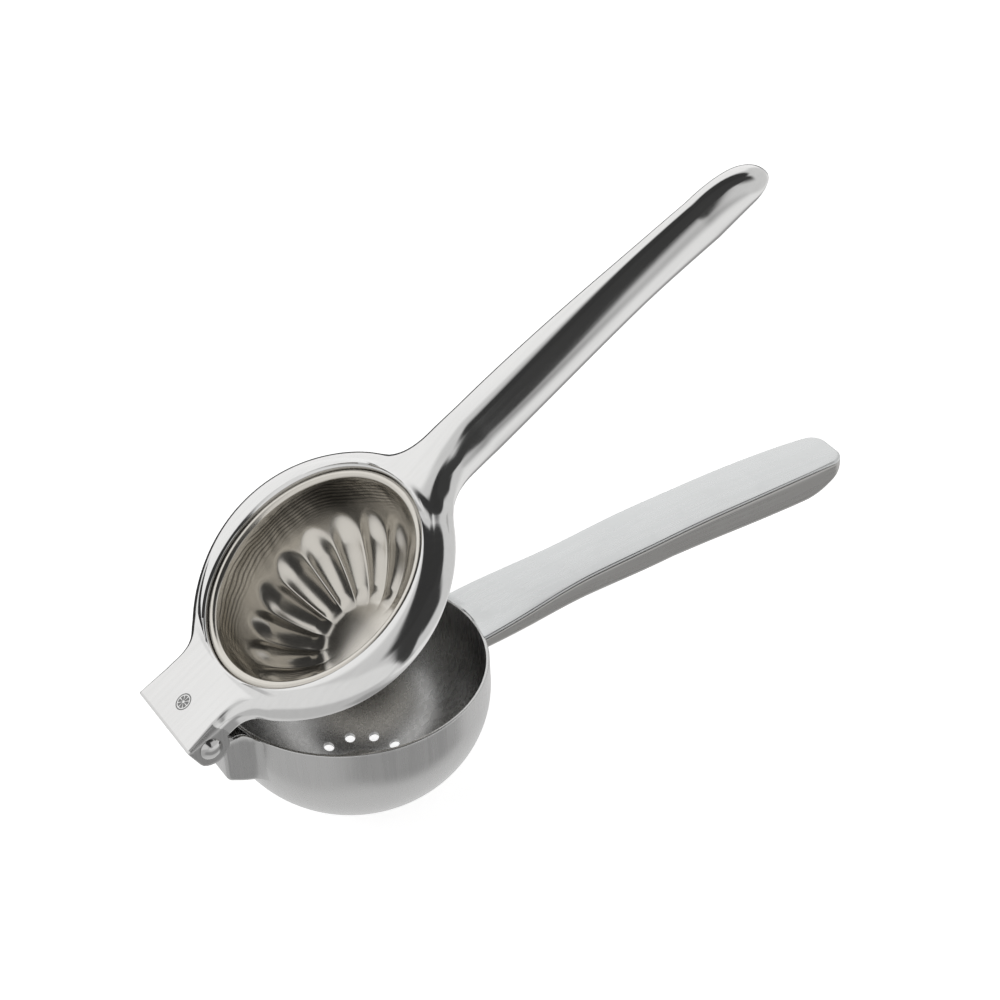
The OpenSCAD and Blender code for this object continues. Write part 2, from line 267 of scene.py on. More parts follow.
def drawn_cup_steel():
    """Deep-drawn steel, with wavy draw lines in relief on its smooth wall and a satin look lower down. The
    lines also darken its colour in dark stripes, which are a painted reflection.
    """
    made = bpy.data.materials.new("cup_mirror_steel")
    made.use_nodes = True
    n = Nodes(made.node_tree)
    where = n.add("ShaderNodeTexCoord").outputs["Object"]
    level = n.add("ShaderNodeMapping", {"Vector": where, "Rotation": (0, math.radians(OPEN), 0)}).outputs[0]
    height = n.add("ShaderNodeSeparateXYZ", {0: level}).outputs["Z"]
    wander = n.noise(where, 40.0, EVEN, 2.0, 0.4)
    phase = n.math("MULTIPLY_ADD", height, RIPPLE, n.math("MULTIPLY", wander, RIPPLE_WANDER))
    ripple = n.math("SINE", phase)
    fine = n.noise(where, 1500.0, EVEN, 3.0, 0.6)
    broad = n.noise(where, 60.0, EVEN, 3.0, 0.5)
    drawn = n.math("MULTIPLY", n.ramp(height, DRAWN_FROM * MM, DRAWN_FULL * MM),
                   n.ramp(height, DRAWN_FADE * MM, DRAWN_TO * MM, 1.0, 0.0))
    lines = n.math("MULTIPLY", n.ramp(ripple, -0.2, 0.9), drawn)
    # painted reflection: the draw lines mix dark stripes into the colour here, and they also stand out in
    # relief through the bump below
    colour = n.colour_mix(lines, CUP_TONE, DRAW_LINE_PAINTED_REFLECTION_TONE)
    rough = n.math("ADD", n.ramp(broad, 0.35, 0.7, 0.16, 0.26), n.math("MULTIPLY", drawn, -0.05))
    relief = n.math("MULTIPLY_ADD", lines, 0.5, n.math("MULTIPLY", fine, 0.4))
    n.metal(colour, rough, relief, 0.12)
    return made


POLISHED = steel("arm_polished_steel", 0.64, 0.11, 0.025, tilt=OPEN, smudge=0.01)
EAR_STEEL = steel("satin_ear_steel", 0.42, 0.28, 0.04, stretch=UPRIGHT, smudge=0.03)
CUP_STEEL = drawn_cup_steel()
PLATE_STEEL = steel("brushed_plate_steel", 0.60, 0.28, 0.05, (0.985, 1.0, 1.0), scratch=0.1)
SHELL_STEEL = steel("satin_handle_steel", 0.44, 0.28, 0.05, (1.0, 0.985, 0.955), scratch=0.1)
BOWL_STEEL = steel("satin_bowl_steel", 0.52, 0.27, 0.02, stretch=UPRIGHT, smudge=0.03)
BRACKET_STEEL = steel("satin_bracket_steel", 0.48, 0.27, 0.02, stretch=UPRIGHT, smudge=0.03)
UNDER_STEEL = steel("brushed_closing_steel", 0.56, 0.3, 0.08, tilt=OPEN, scratch=0.3)
RIVET_STEEL = steel("bright_rivet_steel", 0.5, 0.09, 0.03, stretch=EVEN, smudge=0.03)
HARD_STEEL = steel("turned_hinge_steel", 0.5, 0.3, 0.2, stretch=CROSSWISE)
MARK_STEEL = steel("etched_mark_steel", 0.22, 0.45, 0.1, stretch=EVEN)


# ---- bent sheets: a section carried along an outline ---------------------------------------

# a sheet's rounded free edge, as shares of the way across the sheet and of EDGE
SHEET_EDGE = ((0, 1), (0.07, 0.3), (0.23, 0), (0.77, 0), (0.93, 0.3), (1, 1))
SECTION_STEPS = (8, 14, 10)                    # steps in the wall, the shoulder and the top
LEAST_WALL = 0.02                              # the wall's height where the shoulder takes up all the depth


def shoulder_section(width, height, lean, bulge, radius, ease):
    """Half a pressed channel: (inset, height) from the wall's foot, over the shoulder, to the middle.

    The wall bows out round its lean, from lean - bulge at its foot to lean + bulge at the shoulder.
    ease is the slope left where the shoulder meets the crowned top. The angles are in degrees.
    The second value returned says where the shoulder ends in the list.
    """
    wall_n, arc_n, top_n = SECTION_STEPS
    foot, bend = lean - bulge, lean + bulge
    k = math.tan(math.radians(ease)) / 2
    crown = k * (width - radius * (cosd(bend) - sind(ease)))
    wall = max(height - radius * (cosd(ease) - sind(bend)) - crown, LEAST_WALL)
    wall_r = wall / (sind(bend) - sind(foot) - k * (cosd(foot) - cosd(bend)))
    points = [(wall_r * (cosd(foot) - cosd(b)), wall_r * (sind(b) - sind(foot)))
              for b in np.linspace(foot, bend, wall_n + 1)]
    base = points[-1]
    for b in np.linspace(bend, 90 - ease, arc_n + 1)[1:]:
        inset = base[0] + radius * (cosd(bend) - cosd(b))
        points.append((inset, base[1] + radius * (sind(b) - sind(bend))))
    shoulder = len(points) - 1
    start = points[-1]
    rest = width - start[0]
    for u in np.linspace(0, 1, top_n + 1)[1:]:
        points.append((start[0] + rest * u, start[1] + 2 * k * rest * (u - u * u / 2)))
    return np.array(points), shoulder


# ---- upper arm ---------------------------------------------------------------------------

ARM_T = 1.3                                    # thickness of the sheet
RING_X = 0.9                                   # centre of the ring
RING_TOP = 9.4
HOLE_R = 33.6                                  # radius of the ring's opening, inside its turned-in lip
LIP_ROUND = 0.7
LIP_INNER_ROUND = 0.5
LIP_DEPTH = 4.8
SKIRT = 5.7                                    # depth of the ring's outer wall
EAR_Y = 15.2                                   # outer faces of the ears, from the middle
EAR_R = 5.5
EAR_FRONT = -43                                # the ears' side faces end here
TAIL_END = -54.4                               # back edge of the hinge plate
TAIL_JOIN = -36.5                              # where the hinge plate meets the ring
TAIL_FILLET = 5.0
NECK_JOIN = 36.8                               # where the ring meets the neck
ARM_NECK_FILLET = 9.0
GRIP_FROM = 60                                 # the neck ends and the plain handle begins
CROWN_FROM = 64                                # from here on the sections meet on the handle's middle line
ARM_REACH = REACH + 1.2
NOSE_LENGTH = 22.2
NOSE_START = ARM_REACH - NOSE_LENGTH
NOSE_PLAN = 8.5                                # length of the tip's rounding seen from above
NOSE_STEPS = 26


def ring_radius(angle):
    """The ring's outline is wider across the arm than along it."""
    side = RING_SIDE - 0.2
    return side - 2.9 * cosd(angle) ** 2 - 1.1 * sind(2 * angle) ** 2 + 0.5 * cosd(angle) * sind(angle) ** 2


def handle_foot(x):
    """Half width of the upper handle over its lower edges."""
    return 5.85 + 2.95 * cosd(90 * np.clip((x - 58) / 96, 0, 1)) ** 2 + 1.3 * (1 - smooth(x, 38, 60))


def arm_half_width(x):
    """Half width of the whole arm at distance x, found where the joined outlines cross zero."""
    low, high = np.zeros_like(x), np.full_like(x, 60.0)
    for _ in range(48):
        y = (low + high) / 2
        away = np.hypot(x - RING_X, y)
        ring = away - ring_radius(np.degrees(np.arctan2(y, x - RING_X)))
        strip = np.where(x > 0, y - handle_foot(x), y - EAR_Y)
        joined = soft_min(ring, strip, np.where(x > 0, ARM_NECK_FILLET, TAIL_FILLET))
        inside = joined < 0
        low, high = np.where(inside, y, low), np.where(inside, high, y)
    return (low + high) / 2


def arm_top(x):
    """Height of the arm's top along its middle."""
    t = np.clip((x - 56) / 88, 0, None)
    return np.where(x > 30, mix(RING_TOP, 11.6 - 0.6 * t - 3.9 * t ** 2.2, smooth(x, 37, 58)), RING_TOP)


def arm_depth(x):
    """Depth of the arm's outer wall: the ring's skirt, the handle's channel and the ears."""
    handle = mix(SKIRT, 10.2 + 0.7 * smooth(x, 110, 144), smooth(x, 34, 60))
    drop = np.sqrt(np.clip(EAR_R ** 2 - (x - PIN_X) ** 2, 0, None))
    ear = RING_TOP - PIN_Z + drop
    reach_in = smooth(x, PIN_X + EAR_R + 0.6, PIN_X + EAR_R - 1.4)
    return np.where(x > 0, handle, SKIRT + np.clip(ear - SKIRT, 0, None) * reach_in)


def arm_shape(x):
    """Lean, bulge, shoulder radius and ease of the arm's section at distance x."""
    neck = smooth(x, 32, 58)
    tail = smooth(-x, 27, 43)
    slim = smooth(x, 112, 144)
    lean = 17 * neck - 2 * slim + 3 * (1 - neck) * (1 - tail)
    bulge = 11 * neck + 3 * (1 - neck) * (1 - tail) + 0.3 * tail
    fold = 4.6 - 1.4 * np.clip((x - TAIL_END) / 10, 0, 1)         # tightest at the hinge plate's end
    radius = 5.6 - 0.9 * neck - 0.9 * slim - fold * tail
    ease = 13.5 - 1.5 * neck - 13 * tail
    return lean, bulge, radius, ease


def arm_stations():
    """Points of the half outline, from the hinge plate's back edge round the ring to the handle's nose.

    They crowd where the ears' lower edge turns up. Also returns where the ring's stretch begins and ends.
    """
    crowd = EAR_FRONT - 4
    tail = np.concatenate([np.linspace(TAIL_END + EDGE, crowd, 12),
                           np.linspace(crowd, EAR_FRONT, 24)[1:],
                           np.linspace(EAR_FRONT, TAIL_JOIN, 10)[1:]])
    dense = np.linspace(TAIL_JOIN, NECK_JOIN, 6001)
    width = arm_half_width(dense)
    run = np.concatenate([[0], np.cumsum(np.hypot(np.diff(dense), np.diff(width)))])
    ring = np.interp(np.linspace(0, run[-1], 150), run, dense)[1:]
    neck = np.linspace(NECK_JOIN, GRIP_FROM, 26)[1:]
    grip = np.linspace(GRIP_FROM, NOSE_START, 56)[1:]
    return np.concatenate([tail, ring, neck, grip]), len(tail) - 1, len(tail) + len(ring) - 1


def inner_ends(xs, ys, join_a, join_b, hole):
    """Where each station's section ends: on the middle line or round the ring's opening."""
    angle = np.degrees(np.arctan2(ys, xs - RING_X))
    ends = []
    for i, x in enumerate(xs):
        if i <= join_a:
            t = (x - xs[0]) / (xs[join_a] - xs[0])
            ends.append((mix(xs[0], RING_X - hole, t), 0))
        elif i < join_b:
            turn = 180 - 180 * (angle[join_a] - angle[i]) / (angle[join_a] - angle[join_b])
            ends.append((RING_X + hole * cosd(turn), hole * sind(turn)))
        elif x < CROWN_FROM:
            t = (x - xs[join_b]) / (CROWN_FROM - xs[join_b])
            ends.append((mix(RING_X + hole, CROWN_FROM, t), 0))
        else:
            ends.append((x, 0))
    return np.array(ends)


def arm_skin(gap):
    """One skin of the arm, moved inwards from its outer face by gap, with the first rows at the hinge."""
    xs, join_a, join_b = arm_stations()
    ys = arm_half_width(xs)
    step = 0.02
    slope = (arm_half_width(xs + step) - arm_half_width(xs - step)) / (2 * step)
    hole = HOLE_R + (ARM_T + LIP_INNER_ROUND if gap else LIP_ROUND)
    ends = inner_ends(xs, ys, join_a, join_b, hole)
    rows = []
    for i, x in enumerate(xs):
        lean, bulge, radius, ease = arm_shape(x)
        down = np.array([slope[i], -1.0]) / math.hypot(slope[i], 1)
        down = mix(down, np.array([0.0, -1.0]), smooth(x, 56, 70))
        down = down / np.linalg.norm(down)
        foot = np.array([x, ys[i]]) + down * gap / cosd(lean)
        inner = ends[i]
        depth = float(arm_depth(x)) - gap - EDGE
        width = np.linalg.norm(inner - foot)
        points, turn = shoulder_section(width, depth, lean, bulge, max(radius - gap, 0.3), ease)
        base = float(arm_top(x)) - gap - depth
        insets, heights = points[:, 0], points[:, 1]
        shoulder_at = foot + down * insets[turn]
        row = []
        for j, inset in enumerate(insets):
            if j <= turn:
                at = foot + down * inset
            else:
                at = mix(shoulder_at, inner, (inset - insets[turn]) / (insets[-1] - insets[turn]))
            row.append((at[0], at[1], base + heights[j]))
        rows.append(row)
    return np.array(rows), join_a, join_b


def nose_rows(last, gap):
    """Rows that close the handle's tip: its last section shrinks along two quarter ellipses."""
    rows = []
    length = NOSE_LENGTH - gap
    plan = NOSE_PLAN - gap
    low = last[0][2] - EDGE
    for a in np.linspace(0, 90, NOSE_STEPS + 1)[1:]:
        x = NOSE_START + length * sind(a)
        into = max(0.0, x - (NOSE_START + length - plan)) / plan
        across = math.sqrt(max(0.0, 1 - into ** 2)) * mix(1, 0.985, sind(a))
        tall = float(cosd(a))
        rows.append([(x, p[1] * across, low - 0.2 * (1 - tall) + (p[2] - low) * tall) for p in last])
    return np.array(rows)


def sheet_edge_rows(outer, inner, drop):
    """The rounded free edge between two skins. drop is how far it stands out, for each row."""
    rows = []
    for a, b, d in zip(outer, inner, drop):
        rows.append([mix(a, b, across) + (0, 0, -d * (1 - up)) for across, up in SHEET_EDGE])
    return np.array(rows)


def lip_profile():
    """The lip round the ring's opening as (radius, height), from the outer skin to the inner skin."""
    wall = HOLE_R + ARM_T
    low = RING_TOP - LIP_DEPTH
    under = RING_TOP - ARM_T
    lip = arc(HOLE_R + LIP_ROUND, RING_TOP - LIP_ROUND, LIP_ROUND, 90, 180, 6)[1:]
    lip += [(HOLE_R, mix(lip[-1][1], low + EDGE, t)) for t in (0.5, 1)]
    lip += [(HOLE_R + EDGE / 3, low + EDGE / 3), (HOLE_R + EDGE, low)]
    lip += [(wall - EDGE, low), (wall - EDGE / 3, low + EDGE / 3), (wall, low + EDGE)]
    lip += [(wall, under - LIP_INNER_ROUND), (wall + 0.15, under - 0.12)]
    return lip


def satin_ears(made):
    """Gives the ears a satin finish below the polished plate."""
    made.data.materials.append(EAR_STEEL)
    for face in made.data.polygons:
        at = (ARM_BACK @ face.center) / MM
        near_pin = math.hypot(at.x - PIN_X, at.z - PIN_Z) < EAR_R + 0.8
        if near_pin and at.x < EAR_FRONT and at.z < RING_TOP - 0.35:
            face.material_index = 1


def upper_arm():
    outer, join_a, join_b = arm_skin(0)
    inner, _, _ = arm_skin(ARM_T)
    outer = np.concatenate([outer, nose_rows(outer[-1], 0)])
    inner = np.concatenate([inner, nose_rows(inner[-1], ARM_T)])
    drop = np.full(len(outer), EDGE)
    drop[-NOSE_STEPS:] = EDGE * cosd(np.linspace(0, 90, NOSE_STEPS + 1)[1:])
    foot = sheet_edge_rows(outer[:, 0], inner[:, 0], drop)
    back = np.array([mix(outer[0], inner[0], across) - (EDGE * (1 - up), 0, 0) for across, up in SHEET_EDGE])
    back[:, 0] = foot[0]
    ring_outer = outer[join_a:join_b + 1, -1]
    ring_inner = inner[join_a:join_b + 1, -1]
    turn = np.degrees(np.arctan2(ring_outer[:, 1], ring_outer[:, 0] - RING_X))
    lip = [[(RING_X + r * cosd(a), r * sind(a), z) for a in turn] for r, z in lip_profile()]
    grids = [outer, inner, foot, back, np.array([ring_outer, *lip, ring_inner])]
    made = piece("press_arm_shell", [(points, False) for points in grids], POLISHED, "press_arm",
                 ["upper_arm"], ARM, sharp=60, mirror=True)
    satin_ears(made)


MARK_AT = (-46.6, 0.0)
MARK_R = 2.5
MARK_PROUD = 0.012                             # how far the mark stands above the plate
MARK_T = 0.06
WEDGES = 8


def etched_mark():
    """A plain citrus-slice mark on the hinge plate: a ring round eight wedges."""
    pitch = 360 // WEDGES
    shapes = [(MARK_R * 0.86, MARK_R, 0, 360, 48)]
    shapes += [(MARK_R * 0.16, MARK_R * 0.74, start + 5, start + pitch - 5, 6)
               for start in range(0, 360, pitch)]
    top = RING_TOP + MARK_PROUD
    low = top - MARK_T
    grids = []
    for inside, outside, start, stop, steps in shapes:
        turn = np.linspace(start, stop, steps + 1)
        loop = [(inside, low), (inside, top), (outside, top), (outside, low), (inside, low)]
        rows = np.array([[(MARK_AT[0] + r * cosd(a), MARK_AT[1] + r * sind(a), z) for a in turn]
                         for r, z in loop])
        grids.append((rows, False))
        if stop - start < 360:
            ends = [rows[[0, 1, 3, 2], side].reshape(2, 2, 3) for side in (0, -1)]
            grids += [(end, False) for end in ends]
    piece("etched_slice_mark", grids, MARK_STEEL, "press_arm", (), ARM, sharp=30)


CLOSING_FROM = 50
CLOSING_TO = REACH - 5
CLOSING_T = 0.9
CLOSING_UP = 0.6                               # how far the plate sits inside the channel's lower edges
CLOSING_SIDE = 0.35                            # clearance to the channel's walls
CLOSING_ROUND = 9                              # length of the plate's rounded end


def closing_plate():
    """The thin plate that closes the open side of the upper handle."""
    rows = []
    for x in np.linspace(CLOSING_FROM, CLOSING_TO, 60):
        lean = arm_shape(x)[0]
        into = max(0.0, (x - CLOSING_TO + CLOSING_ROUND) / CLOSING_ROUND)
        taper = math.sqrt(max(0.0, 1 - into ** 2))
        half = max(0.05, (float(handle_foot(x)) - ARM_T / cosd(lean) - CLOSING_SIDE) * taper)
        at = min(x, NOSE_START)
        low = float(arm_top(at) - arm_depth(at)) + CLOSING_UP
        top = low + CLOSING_T
        side = half - 0.15
        loop = [(-half, low + 0.2), (-side, low), (0, low), (side, low), (half, low + 0.2),
                (side, top), (0, top), (-side, top)]
        rows.append([(x, y, z) for y, z in loop])
    rows = np.array(rows)
    caps = [np.repeat(rows[i].mean(0)[None], 8, 0) for i in (0, -1)]
    rows = np.concatenate([caps[0][None], rows, caps[1][None]])
    piece("upper_handle_closing_plate", [(rows, True)], UNDER_STEEL, "press_arm",
          ["upper_handle_plate"], ARM, sharp=40)


# ---- press cup ---------------------------------------------------------------------------

CUP_R = 30.8                                   # the dome's radius and the height of its centre
CUP_Z = RING_TOP - 2.4
CUP_T = 1.0
DISC_R = 13.0                                  # the flat disc at the bottom
DISC_ROUND = 3.0                               # width of the rounding between the dome and the disc
FLUTES = 18
FLUTE_DEPTH = 1.5
FLUTE_STEPS = 22
FLUTE_TURN = 4                                 # degrees from +X to the first groove
LIP_TOP = RING_TOP - 0.9
CUP_LEAN = 3.4                                 # how far the disc's centre sits back from the mouth's


def cup_profile():
    """Inner face of the cup from the lip's outer edge down to the disc's centre, as (radius, height).

    It comes in three lists: the lip, the dome and the disc. edge is the angle below the dome's centre at
    which the dome would cut the disc.
    """
    edge = math.degrees(math.acos(DISC_R / CUP_R))
    lip = [(HOLE_R - 0.05, LIP_TOP - 3.2), (HOLE_R - 0.05, LIP_TOP - 1.4)]
    lip += arc(HOLE_R - 1.25, LIP_TOP - 1.2, 1.2, 0, 90, 8)
    lip += arc(HOLE_R - 1.45, LIP_TOP - 1.3, 1.3, 90, 165, 7)[1:]
    dome = [(CUP_R * cosd(a), CUP_Z - CUP_R * sind(a)) for a in np.linspace(4, edge - 5, 92)]
    from_r, from_z = dome[-1]
    flat_r = DISC_R - DISC_ROUND
    disc_z = CUP_Z - CUP_R * sind(edge)
    for t in np.linspace(0, 1, 11)[1:]:
        r = mix(mix(from_r, DISC_R, t), mix(DISC_R, flat_r, t), t)
        dome.append((r, mix(mix(from_z, disc_z, t), disc_z, t)))
    disc = [(flat_r * t, disc_z) for t in np.linspace(1, 0, 10)[1:]]
    return lip, dome, disc, edge


def flute_height(below, turn, edge):
    """How far a flute stands into the cup at an angle below the dome's centre, for an array of turns."""
    pitch = 360 / FLUTES
    across = np.abs(((turn - FLUTE_TURN) / pitch) % 1 - 0.5) * 2          # 0 on the crest, 1 in the groove
    crest = 1 - across ** 2.2
    start = 19 + 8 * across ** 2                                          # gives each flute a round top end
    rise = smooth(below, start, start + 17)
    fade = 1 - 0.4 * smooth(below, 34, edge)
    end = 1 - smooth(below, edge - 6, edge + 0.5)
    return FLUTE_DEPTH * crest * rise * fade * end


def cup_centre(z):
    """The cup's axis leans towards the hinge, so its disc sits further back than its mouth."""
    return RING_X - CUP_LEAN * np.clip((LIP_TOP - 3 - z) / 26, 0, None)


def press_cup():
    lip, dome, disc, edge = cup_profile()
    steps = FLUTES * FLUTE_STEPS
    turn = np.arange(steps) * 360 / steps
    level = np.ones_like(turn)
    rows = []
    for stretch, fluted in ((lip, 0), (dome, 1), (disc, 0)):
        for r, z in stretch:
            below = math.degrees(math.asin(min(1, max(0, (CUP_Z - z) / CUP_R))))
            lift = fluted * flute_height(below, turn, edge)
            radius = r - lift * cosd(below)
            height = z + lift * sind(below)
            rows.append(np.stack([cup_centre(z) + radius * cosd(turn), radius * sind(turn), height], 1))
    inner = np.array(rows)
    ahead = np.roll(inner, -1, 1) - np.roll(inner, 1, 1)
    down = np.gradient(inner, axis=0)
    normal = np.cross(ahead, down)
    normal /= np.maximum(np.linalg.norm(normal, axis=2, keepdims=True), 1e-9)
    first = len(lip) - 1
    upward = np.sign(normal[-3, 0, 2])
    outer = inner[first:] - normal[first:] * CUP_T * upward
    outer[-1] = outer[-2].mean(0)
    under = [(HOLE_R - 0.3, LIP_TOP - 3.5), (HOLE_R - 1.7, LIP_TOP - 3.6)]
    join = [np.stack([RING_X + r * cosd(turn), r * sind(turn), z * level], 1) for r, z in under]
    grids = [(inner, True), (outer, True), (np.array([inner[0], *join, outer[0]]), True)]
    piece("fluted_press_cup", grids, CUP_STEEL, "press_arm", ["press_cup"], ARM, sharp=60)


# ---- bowl --------------------------------------------------------------------------------

BOWL_T = 1.0
BAND = 7.5                                     # the straight band under the rim
BASE_R = 9.0                                   # the flat base
DOME_DEPTH = (RIM_Z - BAND) / math.sqrt(1 - (BASE_R / BOWL_R) ** 2)
DRAIN_R = 1.5
DRAIN_ROWS = ((6, 5.6, 0), (12, 13.2, 15))      # count, circle radius, start angle


def bowl_curve(gap):
    """Side of the bowl from under its rim to its flat base, moved inwards by gap."""
    tall = DOME_DEPTH - gap
    end = math.degrees(math.asin((RIM_Z - BAND - gap) / tall))
    band = [(BOWL_R - gap, z) for z in np.linspace(-1, -BAND, 6)]
    dome = [((BOWL_R - gap) * cosd(a), -BAND - tall * sind(a)) for a in np.linspace(0, end, 56)[1:]]
    flat = [(dome[-1][0] * t, dome[-1][1]) for t in np.linspace(1, 0, 14)[1:]]
    return band + dome + flat


def drain_cutter():
    """Upright pins through the bowl's bottom, one for each drain hole."""
    cutter = bmesh.new()
    for count, circle, start in DRAIN_ROWS:
        for i in range(count):
            a = start + 360 * i / count
            at = Matrix.Translation(Vector((circle * cosd(a), circle * sind(a), 4 - RIM_Z)) * MM)
            bmesh.ops.create_cone(cutter, cap_ends=True, segments=32, radius1=DRAIN_R * MM,
                                  radius2=DRAIN_R * MM, depth=12 * MM, matrix=at)
    data = bpy.data.meshes.new("drain_cutter")
    cutter.to_mesh(data)
    cutter.free()
    made = bpy.data.objects.new("drain_cutter", data)
    bpy.context.scene.collection.objects.link(made)
    made.matrix_world = BASE
    return made


def bowl():
    r = 0.35
    rim = arc(BOWL_R - r, -r, r, 0, 90, 4) + arc(BOWL_R - BOWL_T + r, -r, r, 90, 180, 4)
    profile = bowl_curve(0)[::-1] + rim + bowl_curve(BOWL_T)
    made = piece("drained_bowl", [(revolve(profile, 168), True)], BOWL_STEEL, "base",
                 ["bowl"], sharp=40)
    apply_boolean(made, drain_cutter())


def apply_boolean(made, cut):
    """Cuts one object out of another and removes the cutter."""
    change = made.modifiers.new("cut", "BOOLEAN")
    change.object = cut
    change.solver = "EXACT"
    graph = bpy.context.evaluated_depsgraph_get()
    graph.update()
    data = bpy.data.meshes.new_from_object(made.evaluated_get(graph), depsgraph=graph)
    made.modifiers.clear()
    made.data = data
    data.set_sharp_from_angle(angle=math.radians(40))
    bpy.data.objects.remove(cut)


# ---- trays: the lower handle's shell and the hinge bracket ----------------------------------

TRAY_STEPS = (8, 6, 8)                         # steps in the wall, the corner and the floor


def tray(outline, inner_x, rim, floor, corner, wall_t):
    """A pressed sheet tray from half an outline: rim edge, wall, rounded corner and floor, in two skins.

    outline holds (x, y, inward x, inward y) for each station, and inner_x where the floor's line ends.
    rim and floor give heights at a distance x.
    """
    wall_n, corner_n, floor_n = TRAY_STEPS
    skins = []
    for gap in (0, wall_t):
        rows = []
        round_r = max(corner - gap, 0.25)
        for (x, y, nx, ny), qx in zip(outline, inner_x):
            inward = np.array([nx, ny])
            foot = np.array([x, y]) + inward * gap
            top = rim(x) - EDGE
            row = [(foot[0], foot[1], mix(top, floor(foot[0]) + gap + round_r, t))
                   for t in np.linspace(0, 1, wall_n + 1)]
            for b in np.linspace(0, 90, corner_n + 1)[1:]:
                at = foot + inward * round_r * (1 - cosd(b))
                row.append((at[0], at[1], floor(at[0]) + gap + round_r * (1 - sind(b))))
            start = foot + inward * round_r
            goal = np.array([qx, 0])
            for t in np.linspace(0, 1, floor_n + 1)[1:]:
                at = mix(start, goal, t)
                row.append((at[0], at[1], floor(at[0]) + gap))
            rows.append(row)
        skins.append(np.array(rows))
    outer, inner = skins
    top = []
    for a, b in zip(outer[:, 0], inner[:, 0]):
        top.append([mix(a, b, across) + (0, 0, EDGE * (1 - up)) for across, up in SHEET_EDGE])
    start = np.array([mix(outer[0], inner[0], t) for t in (0, 1)])
    return [(outer, False), (inner, False), (np.array(top), False), (start, False)]


SHELL_START = BOWL_R - 0.4
ONTO_BOWL_TO = 52.0                            # the handle's end is bent to the bowl up to here
CORNER_R = 5.0                                 # length of the tip's corners
FLAT_END = 3.0                                 # half width of the tip's straight end
LOWER_PLATE_T = 0.9
SHELL_T = 1.0
SEAM = 0.12                                    # gap between the shell's edge and the plate


def lower_half_width(x):
    """Half width of the lower handle: wide at the bowl, a faint waist, then slimmer to the tip."""
    waist = 2.3 * (1 - smooth(x, 38, 74)) + 0.35 * np.exp(-((x - 92) / 14) ** 2)
    return 8.95 + waist - 1.35 * np.clip((x - 118) / 40, 0, None) ** 2


def lower_top(x):
    return 0.3 + 7.7 * (1 - ((140 - x) / (140 - BOWL_R)) ** 2)


def lower_floor(x):
    """Underside of the lower handle, swept up to the tip."""
    sweep = np.clip((x - REACH + 15) / 15, 0, None)
    swell = 4.0 * sind(90 * np.clip((x - 34) / 70, 0, 1))
    heel = 1.8 * sind(90 * np.clip((x - 100) / 50, 0, 1))
    return lower_top(x) - 4.4 - swell - heel + 6.9 * sweep ** 2


def lower_outline():
    """Half outline of the lower handle, from the bowl to the middle of its blunt tip."""
    end = REACH - CORNER_R
    stations = []
    for x in np.linspace(SHELL_START, end, 70):
        slope = (lower_half_width(x + 0.05) - lower_half_width(x - 0.05)) / 0.1
        down = np.array([slope, -1]) / math.hypot(slope, 1)
        stations.append((x, float(lower_half_width(x)), down[0], down[1]))
    wide = stations[-1][1]
    depth = wide - FLAT_END
    for a in np.linspace(90, 0, 15)[1:]:
        nx, ny = -cosd(a) / CORNER_R, -sind(a) / depth
        size = math.hypot(nx, ny)
        stations.append((end + CORNER_R * cosd(a), FLAT_END + depth * sind(a), nx / size, ny / size))
    for t in (0.5, 1):
        stations.append((REACH, FLAT_END * (1 - t), -1.0, 0.0))
    return np.array(stations)


def onto_bowl(points):
    """Slides the first stretch of the lower handle along x until its end follows the bowl's round side."""
    x = points[..., 0]
    start = np.sqrt(SHELL_START ** 2 - np.clip(np.abs(points[..., 1]), 0, 20) ** 2)
    moved = start + (x - SHELL_START) * (ONTO_BOWL_TO - start) / (ONTO_BOWL_TO - SHELL_START)
    bent = points.copy()
    bent[..., 0] = np.where(x < ONTO_BOWL_TO, moved, x)
    return bent


def lower_shell(outline, inner_x):
    grids = tray(outline, inner_x, lambda x: float(lower_top(x)) - LOWER_PLATE_T - SEAM,
                 lambda x: float(lower_floor(x)), 1.5, SHELL_T)
    grids = [(onto_bowl(points), wrap) for points, wrap in grids]
    piece("lower_handle_shell_sheet", grids, SHELL_STEEL, "base", ["lower_handle_shell"],
          sharp=60, mirror=True)


def lower_plate(outline, inner_x):
    """The flat plate on the shell, with a rounded edge that grows softer towards the tip."""
    under = 0.25                               # width of the chamfer on the plate's lower edge
    crown = 0.16
    rows = []
    near_tip = smooth(outline[:, 0], REACH - 14, REACH - 1)
    for (x, y, nx, ny), qx, tip in zip(outline, inner_x, near_tip):
        inward = np.array([nx, ny])
        foot = np.array([x, y])
        middle = np.array([qx, 0])
        r = 0.35 + 0.45 * tip
        low = lower_top(x) - LOWER_PLATE_T
        row = []
        for t in np.linspace(1, 0, 7)[:-1]:
            at = mix(foot + inward * under, middle, t)
            row.append((at[0], at[1], lower_top(at[0]) - LOWER_PLATE_T))
        row.append((*(foot + inward * under), low))
        row.append((*foot, low + 0.2 * (1 - tip) + 0.05))
        for b in np.linspace(0, 90, 8):
            at = foot + inward * r * (1 - cosd(b))
            row.append((at[0], at[1], lower_top(at[0]) - r * (1 - sind(b))))
        for t in np.linspace(0, 1, 9)[1:]:
            at = mix(foot + inward * r, middle, t)
            row.append((at[0], at[1], lower_top(at[0]) + crown * (1 - (1 - t) ** 2)))
        rows.append(row)
    rows = np.array(rows)
    start = np.array([rows[0], np.repeat(rows[0].mean(0)[None], rows.shape[1], 0) * (1, 0, 1)])
    grids = [(onto_bowl(rows), False), (onto_bowl(start), False)]
    piece("lower_handle_top_plate", grids, PLATE_STEEL, "base", ["lower_handle_plate"],
          sharp=50, mirror=True)


